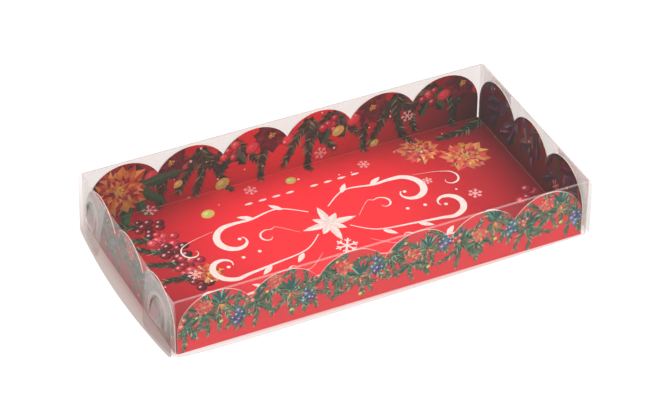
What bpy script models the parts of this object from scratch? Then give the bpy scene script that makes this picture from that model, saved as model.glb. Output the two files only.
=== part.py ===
"""Gift box with a clear lid, 210 x 105 x 31 mm.

A shallow tray folded from one sheet of printed board stands inside a lid folded from one
sheet of clear plastic. Every panel between two creases is a solid of its own, and the
creases are the joints. Metres, +Z up, origin on the table under the middle of the box.
"""

import math

import bpy
import bmesh
from mathutils import Matrix, Vector

# Lid, outside sizes of the folded sheet
LID_LENGTH = 0.210
LID_WIDTH = 0.105
LID_HEIGHT = 0.031
SHEET = 0.0003
SKIRT_LIFT = 0.0003

# How far the free lower edges of the lid stand out, and the form of that bow
LEFT_END_BOW = 0.0053
RIGHT_END_BOW = 0.002
LONG_WALL_BOW = 0.0026
END_ARCH_SHARE = 0.62
LONG_WALL_SKEW_SHARE = 0.45
END_BOW_RISE_SHARE = 0.7
LONG_BOW_RISE_SHARE = 1.2

# How far the end panels stand off at their free corners, and how soon that fades
CORNER_BULGE = 0.0013
BULGE_REACH_SHARE = 0.12
BULGE_RISE_SHARE = 0.08

# Corner flaps behind the end panels
FLAP_WIDTH = 0.029
FLAP_TAPER = 0.003
FLAP_CORNER_RADIUS = 0.004
PANEL_CORNER_RADIUS = 0.0012

# Lock tongues of the end panels, each in a window of the flap behind it
TONGUE_WIDTH = 0.011
TONGUE_HEIGHT = 0.0115
TONGUE_BASE_HEIGHT = 0.0105
TONGUE_FROM_CORNER = 0.0148
TONGUE_SLIT = 0.0004
TONGUE_TILT = math.radians(9)
WINDOW_MARGIN = 0.0015

# Tray, folded from printed board
BOARD = 0.0004
LONG_SCALLOPS = 6
END_SCALLOPS = 3
LONG_SCALLOP_RADIUS = 0.019
END_SCALLOP_RADIUS = 0.0184
CORNER_SLIT = 0.001
WALL_LIFT = 0.0001

# Room between pieces
CREASE_GAP = 0.0003
SIDE_PLAY = 0.0007
LEFT_PLAY = 0.0006
RIGHT_PLAY = 0.0009
TOP_PLAY = 0.0007
CUT_OVERRUN = 0.004
WELD_SHARE = 0.01

# Fineness of curved forms
SCALLOP_STEPS = 14
ARCH_STEPS = 14
CORNER_STEPS = 4
END_PANEL_STEPS = (28, 8)
LONG_WALL_STEPS = (32, 6)
FLAP_STEPS = (8, 8)

# Worked out from the sizes above
LID_MIDDLE = (LEFT_END_BOW - RIGHT_END_BOW) / 2
FLAP_INSET = SHEET + CREASE_GAP
TOP_PANEL_INSET = SHEET + CREASE_GAP
END_STACK = FLAP_INSET + SHEET
FLAP_TOP = LID_HEIGHT - SHEET - CREASE_GAP

TRAY_LEFT = LID_MIDDLE - LID_LENGTH / 2 + END_STACK + LEFT_PLAY
TRAY_RIGHT = LID_MIDDLE + LID_LENGTH / 2 - END_STACK - RIGHT_PLAY
TRAY_MIDDLE = (TRAY_LEFT + TRAY_RIGHT) / 2
TRAY_LENGTH = TRAY_RIGHT - TRAY_LEFT
TRAY_WIDTH = LID_WIDTH - 2 * (SHEET + SIDE_PLAY)
TRAY_HEIGHT = LID_HEIGHT - SHEET - TOP_PLAY
FLOOR_INSET = BOARD + CREASE_GAP

PARTS = "gift_box_with_clear_lid"
CUTTERS = "cutters"


def clear_scene():
    for item in list(bpy.data.objects):
        bpy.data.objects.remove(item, do_unlink=True)


def new_collection(name):
    collection = bpy.data.collections.new(name)
    bpy.context.scene.collection.children.link(collection)
    return collection


def make_material(name, colour, roughness, alpha=1.0):
    material = bpy.data.materials.new(name)
    material.use_nodes = True
    shader = material.node_tree.nodes["Principled BSDF"]
    shader.inputs["Base Color"].default_value = (*colour, 1.0)
    shader.inputs["Roughness"].default_value = roughness
    shader.inputs["Metallic"].default_value = 0.0
    shader.inputs["Alpha"].default_value = alpha
    return material


def add_empty(name, location, collection):
    empty = bpy.data.objects.new(name, None)
    empty.location = location
    collection.objects.link(empty)
    return empty


def mesh_from_outline(name, points, thickness):
    """A closed plate: the outline lies in the local XY plane, half the thickness each way."""
    curve = bpy.data.curves.new(name, "CURVE")
    curve.dimensions = "2D"
    curve.fill_mode = "BOTH"
    curve.extrude = thickness / 2
    spline = curve.splines.new("POLY")
    spline.points.add(len(points) - 1)
    for corner, (x, y) in zip(spline.points, points):
        corner.co = (x, y, 0.0, 1.0)
    spline.use_cyclic_u = True
    guide = bpy.data.objects.new(name, curve)
    bpy.context.scene.collection.objects.link(guide)
    evaluated = guide.evaluated_get(bpy.context.evaluated_depsgraph_get())
    mesh = bpy.data.meshes.new_from_object(evaluated)
    bpy.data.objects.remove(guide, do_unlink=True)
    bpy.data.curves.remove(curve)
    weld(mesh)
    return mesh


def weld(mesh):
    work = bmesh.new()
    work.from_mesh(mesh)
    bmesh.ops.remove_doubles(work, verts=work.verts, dist=SHEET * WELD_SHARE)
    bmesh.ops.recalc_face_normals(work, faces=work.faces)
    work.to_mesh(mesh)
    work.free()


def place(name, mesh, matrix, parent, collection, material=None):
    piece = bpy.data.objects.new(name, mesh)
    collection.objects.link(piece)
    piece.parent = parent
    if parent is None:
        piece.matrix_local = matrix
    else:
        piece.matrix_local = parent.matrix_world.inverted() @ matrix
    if material is not None:
        piece.data.materials.clear()
        piece.data.materials.append(material)
    bpy.context.view_layer.update()
    return piece


def make_cutter(name, mesh, matrix, collection):
    cutter = place(name, mesh, matrix, None, collection)
    cutter.hide_render = True
    cutter.display_type = "WIRE"
    return cutter


def cut(piece, cutter, operation):
    modifier = piece.modifiers.new(cutter.name, "BOOLEAN")
    modifier.operation = operation
    modifier.solver = "EXACT"
    modifier.object = cutter
    piece.modifiers.new("flat_faces", "TRIANGULATE")


def arc_points(centre, radius, start, end, steps):
    angles = [start + (end - start) * step / steps for step in range(steps + 1)]
    return [(centre[0] + radius * math.cos(a), centre[1] + radius * math.sin(a)) for a in angles]


# Tray


def scallop_outline(span, count, radius):
    """Wall outline from crease to scalloped top: x along the wall, y up from the crease."""
    side = span / 2 - CORNER_SLIT
    arc_height = TRAY_HEIGHT - radius
    first = radius - side
    pitch = -2 * first / (count - 1)
    dip = math.asin(min(pitch / 2 / radius, 1))
    points = [(-side, WALL_LIFT)]
    for number in range(count):
        centre = (first + pitch * number, arc_height)
        start = math.pi if number == 0 else math.pi / 2 + dip
        end = 0 if number == count - 1 else math.pi / 2 - dip
        arc = arc_points(centre, radius, start, end, SCALLOP_STEPS)
        points.extend(arc if number == 0 else arc[1:])
    points.append((side, WALL_LIFT))
    return points


def wall_frame(foot, along, inward):
    """Local X runs along the wall, local Y up and local Z out of it, with the crease at the foot."""
    up = Vector((0, 0, 1))
    outward = -inward
    frame = Matrix((along, up, outward)).transposed().to_4x4()
    return Matrix.Translation(foot) @ frame


def make_tray(collection, print_material):
    tray = add_empty("tray", (TRAY_MIDDLE, 0, 0), collection)
    bpy.context.view_layer.update()

    half_length = TRAY_LENGTH / 2 - FLOOR_INSET
    half_width = TRAY_WIDTH / 2 - FLOOR_INSET
    corners = [(-half_length, -half_width), (half_length, -half_width),
               (half_length, half_width), (-half_length, half_width)]
    floor = mesh_from_outline("tray_floor", corners, BOARD)
    place("tray_floor", floor, Matrix.Translation((TRAY_MIDDLE, 0, BOARD / 2)), tray,
          collection, print_material)

    x_axis, y_axis = Vector((1, 0, 0)), Vector((0, 1, 0))
    long_foot = TRAY_WIDTH / 2 - BOARD / 2
    end_foot = TRAY_LENGTH / 2 - BOARD / 2
    walls = (
        ("tray_front_wall", (TRAY_MIDDLE, -long_foot), x_axis, y_axis),
        ("tray_back_wall", (TRAY_MIDDLE, long_foot), -x_axis, -y_axis),
        ("tray_left_wall", (TRAY_MIDDLE - end_foot, 0), -y_axis, x_axis),
        ("tray_right_wall", (TRAY_MIDDLE + end_foot, 0), y_axis, -x_axis),
    )
    for name, (x, y), along, inward in walls:
        if along.x:
            outline = scallop_outline(TRAY_LENGTH, LONG_SCALLOPS, LONG_SCALLOP_RADIUS)
        else:
            outline = scallop_outline(TRAY_WIDTH, END_SCALLOPS, END_SCALLOP_RADIUS)
        crease_height = BOARD / 2
        shifted = [(u, v - crease_height) for u, v in outline]
        mesh = mesh_from_outline(name, shifted, BOARD)
        matrix = wall_frame(Vector((x, y, crease_height)), along, inward)
        place(name, mesh, matrix, tray, collection, print_material)


# Lid


def arch(share):
    """0 at both ends of an edge and 1 at its widest."""
    return max(math.sin(math.pi * min(max(share, 0.0), 1.0)), 0.0)


def depth_share(z):
    """0 at the lid's top crease and 1 at the free lower edge."""
    return min(max((LID_HEIGHT - z) / (LID_HEIGHT - SKIRT_LIFT), 0.0), 1.0)


def end_bow(side, y, z):
    """How far an end panel stands out from its upright plane."""
    bow = LEFT_END_BOW if side < 0 else RIGHT_END_BOW
    across = arch(y / LID_WIDTH + 1 / 2) ** END_ARCH_SHARE
    return bow * across * depth_share(z) ** END_BOW_RISE_SHARE


def corner_bulge(y, z):
    """How far the free upright edges of an end panel stand off the flaps behind them."""
    fade = math.exp((abs(y) / LID_WIDTH - 1 / 2) / BULGE_REACH_SHARE)
    return CORNER_BULGE * fade * (1 - math.exp(-depth_share(z) / BULGE_RISE_SHARE))


def long_bow(x, z):
    """How far a long wall of the lid stands out from its upright plane."""
    share = min(max((x - LID_MIDDLE) / LID_LENGTH + 1 / 2, 0.0), 1.0)
    along = arch(share ** LONG_WALL_SKEW_SHARE)
    return LONG_WALL_BOW * along * depth_share(z) ** LONG_BOW_RISE_SHARE


def bent_sheet(low, high, steps, surface):
    """A grid over u and v from low to high, laid on surface(u, v)."""
    work = bmesh.new()
    bmesh.ops.create_grid(work, x_segments=steps[0], y_segments=steps[1], size=1)
    for vertex in work.verts:
        u = low[0] + (high[0] - low[0]) * (vertex.co.x + 1) / 2
        v = low[1] + (high[1] - low[1]) * (vertex.co.y + 1) / 2
        vertex.co = surface(u, v)
    return work


def face_outward(work, outward):
    """Turn the sheet's faces so that their normals look along outward."""
    work.normal_update()
    total = sum((face.normal for face in work.faces), Vector())
    if total.dot(outward) < 0:
        bmesh.ops.reverse_faces(work, faces=work.faces)


def sheet_object(name, work, outward, origin, parent, collection, material):
    """A bent sheet of the plastic's thickness, thickened inwards, with its origin on its crease."""
    face_outward(work, outward)
    mesh = bpy.data.meshes.new(name)
    work.to_mesh(mesh)
    work.free()
    mesh.transform(Matrix.Translation(-origin))
    mesh.shade_smooth()
    piece = place(name, mesh, Matrix.Translation(origin), parent, collection, material)
    solid = piece.modifiers.new("thickness", "SOLIDIFY")
    solid.thickness = SHEET
    solid.offset = -1
    solid.use_even_offset = True
    piece.modifiers.new("flat_faces", "TRIANGULATE")
    return piece


def panel_outline(low, high):
    """End panel seen square on: straight top and sides, with its lower corners rounded."""
    left, bottom = low
    right, top = high
    radius = PANEL_CORNER_RADIUS
    lower_left = arc_points((left + radius, bottom + radius), radius,
                            math.pi, math.pi * 3 / 2, CORNER_STEPS)
    lower_right = arc_points((right - radius, bottom + radius), radius,
                             math.pi * 3 / 2, math.pi * 2, CORNER_STEPS)
    return [(left, top)] + lower_left + lower_right + [(right, top)]


def tongue_outline(margin, foot):
    """Upright D: straight sides from the foot, with a half round top. The base line is y = 0."""
    radius = TONGUE_WIDTH / 2 + margin
    shoulder = max(TONGUE_HEIGHT - TONGUE_WIDTH / 2, 0.0)
    points = arc_points((0, shoulder), radius, 0, math.pi, ARCH_STEPS)
    return [(radius, foot)] + points + [(-radius, foot)]


def tongue_frame(side, end):
    """On the end panel's mid surface at the tongue's base: X on the hinge, Y up, Z outward."""
    middle = end * (LID_WIDTH / 2 - TONGUE_FROM_CORNER)

    def surface(y, z):
        reach = LID_LENGTH / 2 + end_bow(side, y, z) + corner_bulge(y, z) - SHEET / 2
        return Vector((LID_MIDDLE + side * reach, y, z))

    near = surface(middle - TONGUE_WIDTH / 2, TONGUE_BASE_HEIGHT)
    far = surface(middle + TONGUE_WIDTH / 2, TONGUE_BASE_HEIGHT)
    foot = (near + far) / 2
    tip = surface(middle, TONGUE_BASE_HEIGHT + TONGUE_HEIGHT)
    along = (far - near).normalized() * side
    up = tip - foot
    up = (up - along * up.dot(along)).normalized()
    outward = along.cross(up)
    return Matrix.Translation(foot) @ Matrix((along, up, outward)).transposed().to_4x4()


def make_end(side, parent, collection, cutters, material):
    name = "left" if side < 0 else "right"
    outer = LID_LENGTH / 2
    half_width = LID_WIDTH / 2
    outward = Vector((side, 0, 0))
    crease = Vector((LID_MIDDLE + side * (outer - SHEET / 2), 0, LID_HEIGHT - SHEET / 2))

    def outer_face(y, z):
        reach = outer + end_bow(side, y, z) + corner_bulge(y, z)
        return Vector((LID_MIDDLE + side * reach, y, z))

    def flap_face(y, z):
        return Vector((LID_MIDDLE + side * (outer - FLAP_INSET + end_bow(side, y, z)), y, z))

    low = (-half_width, SKIRT_LIFT)
    high = (half_width, LID_HEIGHT)
    work = bent_sheet((low[0] - CREASE_GAP, low[1] - CREASE_GAP),
                      (high[0] + CREASE_GAP, high[1] + CREASE_GAP), END_PANEL_STEPS, outer_face)
    panel = sheet_object(f"lid_{name}_end_panel", work, outward, crease, parent, collection,
                         material)
    trim_to(panel, panel_outline(low, high), side, cutters)

    for end, place_name in ((-1, "front"), (1, "back")):
        frame = tongue_frame(side, end)
        slit = mesh_from_outline("slit", tongue_outline(TONGUE_SLIT, -CREASE_GAP / 2), CUT_OVERRUN)
        slit_cutter = make_cutter(f"{name}_{place_name}_slit", slit, frame, cutters)
        cut(panel, slit_cutter, "DIFFERENCE")

        tongue = mesh_from_outline("tongue", tongue_outline(0.0, CREASE_GAP / 2), SHEET)
        tilt = Matrix.Rotation(-TONGUE_TILT, 4, "X")
        place(f"{name}_{place_name}_lock_tongue", tongue, frame @ tilt, panel, collection, material)

        make_flap(side, end, f"{name}_{place_name}", flap_face, frame, parent, collection,
                  cutters, material)


def make_flap(side, end, name, face, frame, parent, collection, cutters, material):
    corner = end * (LID_WIDTH / 2 - SHEET)
    start = corner - end * CREASE_GAP
    free = corner - end * FLAP_WIDTH
    crease_x = LID_MIDDLE + side * (LID_LENGTH / 2 - FLAP_INSET - SHEET / 2)
    crease = Vector((crease_x, corner - end * CREASE_GAP / 2, LID_HEIGHT / 2))
    work = bent_sheet((start + end * CREASE_GAP, SKIRT_LIFT - CREASE_GAP),
                      (free - end * CREASE_GAP, FLAP_TOP + CREASE_GAP), FLAP_STEPS, face)
    flap = sheet_object(f"{name}_corner_flap", work, Vector((side, 0, 0)), crease, parent,
                        collection, material)
    trim_to(flap, flap_outline(end, start, free), side, cutters)

    window = mesh_from_outline("window", tongue_outline(WINDOW_MARGIN, -CREASE_GAP), CUT_OVERRUN)
    cutter = make_cutter(f"{name}_window", window, frame, cutters)
    cut(flap, cutter, "DIFFERENCE")


def flap_outline(end, start, free):
    """Flap seen square on: its free edge leans in towards the foot and its lower corner is round."""
    lean = math.atan2(FLAP_TAPER, FLAP_TOP - SKIRT_LIFT)
    radius = FLAP_CORNER_RADIUS
    foot = free + end * FLAP_TAPER
    middle = (foot + end * radius * (1 / math.cos(lean) - math.tan(lean)), SKIRT_LIFT + radius)
    turn = arc_points((0, 0), radius, math.pi + lean, math.pi * 3 / 2, CORNER_STEPS)
    round_corner = [(middle[0] + end * x, middle[1] + y) for x, y in turn]
    return [(free, FLAP_TOP)] + round_corner + [(start, SKIRT_LIFT), (start, FLAP_TOP)]


def trim_to(piece, outline, side, cutters):
    """Keep only what lies inside an outline in the YZ plane, seen along X."""
    reach = LID_LENGTH / 2 + max(LEFT_END_BOW, RIGHT_END_BOW)
    mesh = mesh_from_outline(piece.name + "_outline", outline, reach)
    along, up = Vector((0, 1, 0)), Vector((0, 0, 1))
    frame = Matrix((along, up, along.cross(up))).transposed().to_4x4()
    centre = Vector((LID_MIDDLE + side * reach, 0, 0))
    cutter = make_cutter(piece.name + "_outline", mesh, Matrix.Translation(centre) @ frame, cutters)
    cut(piece, cutter, "INTERSECT")


def make_long_wall(name, front, parent, collection, material):
    half_width = LID_WIDTH / 2
    half_length = LID_LENGTH / 2 - FLAP_INSET

    def outer_face(x, z):
        return Vector((x, front * (half_width + long_bow(x, z)), z))

    crease = Vector((LID_MIDDLE, front * (half_width - SHEET / 2), LID_HEIGHT - SHEET / 2))
    low = (LID_MIDDLE - half_length, SKIRT_LIFT)
    high = (LID_MIDDLE + half_length, LID_HEIGHT)
    work = bent_sheet(low, high, LONG_WALL_STEPS, outer_face)
    sheet_object(name, work, Vector((0, front, 0)), crease, parent, collection, material)


def make_lid(collection, cutters, material):
    lid = add_empty("lid", (LID_MIDDLE, 0, LID_HEIGHT), collection)
    bpy.context.view_layer.update()

    half_length = LID_LENGTH / 2 - TOP_PANEL_INSET
    half_width = LID_WIDTH / 2 - TOP_PANEL_INSET
    corners = [(-half_length, -half_width), (half_length, -half_width),
               (half_length, half_width), (-half_length, half_width)]
    top = mesh_from_outline("lid_top", corners, SHEET)
    place("lid_top", top, Matrix.Translation((LID_MIDDLE, 0, LID_HEIGHT - SHEET / 2)), lid,
          collection, material)

    make_long_wall("lid_front_wall", -1, lid, collection, material)
    make_long_wall("lid_back_wall", 1, lid, collection, material)
    for side in (-1, 1):
        make_end(side, lid, collection, cutters, material)


def main():
    clear_scene()
    collection = new_collection(PARTS)
    cutters = new_collection(CUTTERS)
    printed_board = make_material("printed_board", (0.62, 0.02, 0.03), 0.3)
    clear_plastic = make_material("clear_plastic", (0.9, 0.92, 0.92), 0.06, 0.25)
    make_tray(collection, printed_board)
    make_lid(collection, cutters, clear_plastic)


main()
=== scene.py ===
"""Looks of the gift box: a printed, scalloped tray inside a clear lid folded from one sheet.

Metres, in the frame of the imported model. The print is drawn as flat shapes on the unfolded
tray and cut into the faces of each panel, so that it runs on over the creases.
"""

import math
import random

import bpy
from mathutils import Matrix, Vector
from mathutils.geometry import delaunay_2d_cdt


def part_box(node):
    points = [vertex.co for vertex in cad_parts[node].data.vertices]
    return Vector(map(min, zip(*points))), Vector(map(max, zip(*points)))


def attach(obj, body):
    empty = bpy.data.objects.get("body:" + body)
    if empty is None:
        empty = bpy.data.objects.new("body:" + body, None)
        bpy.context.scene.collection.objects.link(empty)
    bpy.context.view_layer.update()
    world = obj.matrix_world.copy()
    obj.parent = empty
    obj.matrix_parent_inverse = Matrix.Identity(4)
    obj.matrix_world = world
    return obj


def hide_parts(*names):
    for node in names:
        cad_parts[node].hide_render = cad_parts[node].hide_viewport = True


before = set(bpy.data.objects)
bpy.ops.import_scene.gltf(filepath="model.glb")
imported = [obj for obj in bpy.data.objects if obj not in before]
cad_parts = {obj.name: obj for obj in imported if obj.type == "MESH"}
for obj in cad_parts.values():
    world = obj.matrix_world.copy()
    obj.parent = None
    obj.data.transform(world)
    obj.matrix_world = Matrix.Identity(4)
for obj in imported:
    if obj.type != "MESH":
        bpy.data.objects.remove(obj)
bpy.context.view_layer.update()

X_AXIS, Y_AXIS, UP = Vector((1, 0, 0)), Vector((0, 1, 0)), Vector((0, 0, 1))

# Tray, from the frame
FLOOR_LOW, FLOOR_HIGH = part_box("tray_floor")
BOARD = FLOOR_HIGH.z - FLOOR_LOW.z
TRAY_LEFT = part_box("tray_left_wall")[0].x
TRAY_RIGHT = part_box("tray_right_wall")[1].x
TRAY_MIDDLE = (TRAY_LEFT + TRAY_RIGHT) / 2
TRAY_LENGTH = TRAY_RIGHT - TRAY_LEFT
TRAY_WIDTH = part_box("tray_back_wall")[1].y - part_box("tray_front_wall")[0].y
WALL_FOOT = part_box("tray_front_wall")[0].z
WALL_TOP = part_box("tray_front_wall")[1].z
INNER_X = TRAY_LENGTH / 2 - BOARD
INNER_Y = TRAY_WIDTH / 2 - BOARD

# Scallops and creases of the tray's walls
LONG_SCALLOPS = 6
END_SCALLOPS = 3
LONG_SCALLOP_RADIUS = 0.019
END_SCALLOP_RADIUS = 0.0184
CORNER_SLIT = 0.001
CREASE_SINK = 0.00004
CREASE_PLAY = 0.00003

# Lid, from the frame
TOP_LOW, TOP_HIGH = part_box("lid_top")
SHEET = TOP_HIGH.z - TOP_LOW.z
LID_TOP = TOP_HIGH.z
LID_MIDDLE = (TOP_LOW.x + TOP_HIGH.x) / 2
CREASE_GAP = 0.0003
FOLD_RADIUS = SHEET + CREASE_GAP
FOLD_START = 0.05
LID_HALF_LENGTH = (TOP_HIGH.x - TOP_LOW.x) / 2 + FOLD_RADIUS
LID_HALF_WIDTH = (TOP_HIGH.y - TOP_LOW.y) / 2 + FOLD_RADIUS
SKIRT_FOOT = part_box("lid_front_wall")[0].z
SKIRT_TOP = LID_TOP - FOLD_RADIUS
LEFT_END_BOW = LID_MIDDLE - LID_HALF_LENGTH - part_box("lid_left_end_panel")[0].x
RIGHT_END_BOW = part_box("lid_right_end_panel")[1].x - LID_MIDDLE - LID_HALF_LENGTH
LONG_WALL_BOW = -LID_HALF_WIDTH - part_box("lid_front_wall")[0].y

# Bent forms of the lid's free edges
END_ARCH_SHARE = 0.62
LONG_WALL_SKEW_SHARE = 0.45
END_BOW_RISE_SHARE = 0.7
LONG_BOW_RISE_SHARE = 1.2
CORNER_BULGE = 0.0013
BULGE_REACH_SHARE = 0.12
BULGE_RISE_SHARE = 0.08

# Corner flaps and lock tongues
FLAP_WIDTH = 0.029
FLAP_TAPER = 0.003
FLAP_CORNER_RADIUS = 0.004
PANEL_CORNER_RADIUS = 0.0012
TONGUE_WIDTH = 0.011
TONGUE_HEIGHT = 0.0115
TONGUE_BASE_HEIGHT = 0.0105
TONGUE_FROM_CORNER = 0.0148
TONGUE_SLIT = 0.0004
TONGUE_TILT = math.radians(9)
WINDOW_MARGIN = 0.0015
HAZY_RING_WIDTH = 0.002

# Fineness of the meshes
MERGE = 0.000001
SHEET_SPACING = 0.003
SCALLOP_STEPS = 28
ARC_STEPS = 20
CORNER_STEPS = 6
FOLD_STEPS = 6
FOLD_LENGTH_STEPS = 24
SHARP_ANGLE = math.radians(40)

# Camera at the photographed angle
CAMERA_AZIMUTH = math.radians(-26.62)
CAMERA_ELEVATION = math.radians(37.40)
CAMERA_ROLL = math.radians(0.895)
CAMERA_DISTANCE = 1.5135
CAMERA_SIDE = 0.00014
CAMERA_RISE = 0.00937
LENS_MM = 174.72
SENSOR_MM = 36.0

# Table and light
TABLE_SIZE = 6.0
TABLE_GLOW = 0.98
TABLE_TONES = ((0.11, 0.11, 0.11), (0.13, 0.13, 0.13))
# Painted shade on the glowing table: a contact shadow round the tray's foot, a darker band under the
# lid's ends, and a painted red bounce light from the tray near its foot
CONTACT_SHADE = 0.08
CONTACT_SHADE_REACH = 0.002
COVER_SHADE = 0.36
CORNER_SHADE_LOSS = 0.003
LEFT_SHADE_REACH = 0.0062
RIGHT_SHADE_REACH = 0.0016
SIDE_SHADE_REACH = 0.0036
WHITE_CAST = (1.0, 0.985, 0.975)
PAINTED_RED_BOUNCE = (1.0, 0.55, 0.53)
WORLD_STRENGTH = 0.5
SEE_THROUGH_STEPS = 48
LIGHT_SIZE = 1.6

# Lamps: name, place and power
LIGHTS = (("key_light", (0.4, 0.5, 1.7), 40.0), ("fill_light", (0.6, -1.9, 0.9), 26.0))


# Colours


def rgb(red, green, blue):
    """A colour of 0 to 255 as it looks on a screen, as the shader's linear colour."""
    full = 255
    return tuple(((c / full + 0.055) / 1.055) ** 2.4 for c in (red, green, blue))


def palette(*colours):
    return [rgb(*colour) for colour in colours]


def scaled(colour, factor):
    return tuple(min(channel * factor, 1.0) for channel in colour)


FOREST = palette((40, 60, 46), (58, 86, 62), (112, 134, 98), (44, 44, 40), (34, 50, 44))
GARLAND_GREEN = palette((30, 88, 72), (56, 116, 92), (132, 178, 146), (24, 66, 56),
                        (84, 130, 96), (40, 84, 60))
PLUM = palette((78, 62, 96), (110, 104, 138), (60, 44, 74), (96, 40, 66), (70, 80, 104),
               (118, 108, 66))
CRIMSON = palette((206, 40, 62), (176, 30, 52), (222, 70, 84))
EMBER = palette((236, 150, 70), (222, 104, 60), (170, 44, 74), (240, 176, 96), (196, 60, 60))
CORAL = palette((238, 112, 88), (230, 86, 84), (244, 150, 112), (216, 70, 78))
MAROON = palette((110, 24, 40), (92, 30, 44), (140, 36, 50))
BLUEBERRY = palette((74, 104, 150), (92, 140, 156), (84, 72, 150), (110, 130, 190))
HOLLY = palette((44, 88, 62), (30, 62, 48), (62, 104, 70))
TEAL = palette((28, 84, 76), (64, 142, 124), (126, 186, 160), (44, 110, 100))
WARM_WHITE, PALE_PINK, GOLD, LIME, TWIG, LIGHT_TWIG = palette(
    (255, 238, 232), (250, 186, 186), (226, 190, 96), (204, 208, 116), (112, 62, 50),
    (150, 170, 120))


# Flat outlines


def heading(start, end):
    return math.atan2(end[1] - start[1], end[0] - start[0])


def ahead(point, angle, distance):
    return (point[0] + distance * math.cos(angle), point[1] + distance * math.sin(angle))


def rectangle(low, high):
    return [(low[0], low[1]), (high[0], low[1]), (high[0], high[1]), (low[0], high[1])]


def extent(loop):
    """The lowest and the highest x and y of an outline."""
    return [[limit(point[k] for point in loop) for k in (0, 1)] for limit in (min, max)]


def arc_points(centre, radius, start, end, steps):
    return [ahead(centre, start + (end - start) * step / steps, radius)
            for step in range(steps + 1)]


def curve_through(points, steps):
    """Points on a smooth curve through the given ones."""
    ends = [points[0], *points, points[-1]]
    path = []
    for a, b, c, d in zip(ends, ends[1:], ends[2:], ends[3:]):
        for step in range(steps):
            t = step / steps
            path.append(tuple(
                (2 * b[k] + (c[k] - a[k]) * t + (2 * a[k] - 5 * b[k] + 4 * c[k] - d[k]) * t ** 2
                 + (3 * b[k] - a[k] - 3 * c[k] + d[k]) * t ** 3) / 2 for k in (0, 1)))
    path.append(tuple(points[-1]))
    return path


def volute(centre, radius, start, turn):
    """Points of a spiral that winds in towards its centre."""
    steps = 9
    return [ahead(centre, start + turn * n / steps, radius * (1 - 0.78 * n / steps))
            for n in range(steps + 1)]


def counterclockwise(loop):
    doubled = sum(a[0] * b[1] - b[0] * a[1] for a, b in zip(loop, loop[1:] + loop[:1]))
    return loop if doubled > 0 else loop[::-1]


def spaced(loop):
    """The outline with its long edges divided."""
    points = []
    for a, b in zip(loop, loop[1:] + loop[:1]):
        parts = max(round(math.dist(a, b) / SHEET_SPACING), 1)
        points += [(a[0] + (b[0] - a[0]) * n / parts, a[1] + (b[1] - a[1]) * n / parts)
                   for n in range(parts)]
    return points


def inside(loop, x, y):
    """Whether a point lies within a closed outline."""
    within = False
    for (ax, ay), (bx, by) in zip(loop, loop[1:] + loop[:1]):
        if (ay > y) != (by > y) and x < ax + (bx - ax) * (y - ay) / (by - ay):
            within = not within
    return within


def fill(outline, shapes=(), holes=(), inner_points=()):
    """Cuts an outline into triangles along the shapes printed on it.

    Returns the points, the triangles, and for each triangle the number of the topmost shape,
    or -1 where the sheet is bare.
    """
    points, loops = [], []
    for loop in [outline, *holes, *shapes]:
        first = len(points)
        points.extend(Vector(point) for point in counterclockwise(list(loop)))
        loops.append(list(range(first, len(points))))
    points.extend(Vector(point) for point in inner_points)
    made, _, faces, _, _, owners = delaunay_2d_cdt(points, [], loops, 1, MERGE)
    kept, tops = [], []
    for face, owner in zip(faces, owners):
        middle = sum((made[number] for number in face), Vector((0, 0))) / len(face)
        if 0 not in owner or any(inside(hole, *middle) for hole in holes):
            continue
        above = sorted((number - len(holes) - 1 for number in owner), reverse=True)
        kept.append(face)
        tops.append(next((n for n in above if n >= 0 and inside(shapes[n], *middle)), -1))
    used = sorted({number for face in kept for number in face})
    place = {number: n for n, number in enumerate(used)}
    return [made[number] for number in used], [[place[n] for n in face] for face in kept], tops


def rim_loops(faces):
    """The open edges of the faces, as loops of point numbers."""
    edges = {(a, b) for face in faces for a, b in zip(face, face[1:] + face[:1])}
    follow = {a: b for a, b in sorted(edges) if (b, a) not in edges}
    loops = []
    while follow:
        start = min(follow)
        loop = [start]
        here = follow.pop(start)
        while here != start:
            loop.append(here)
            here = follow.pop(here)
        loops.append(loop)
    return loops


# Drawing


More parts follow.
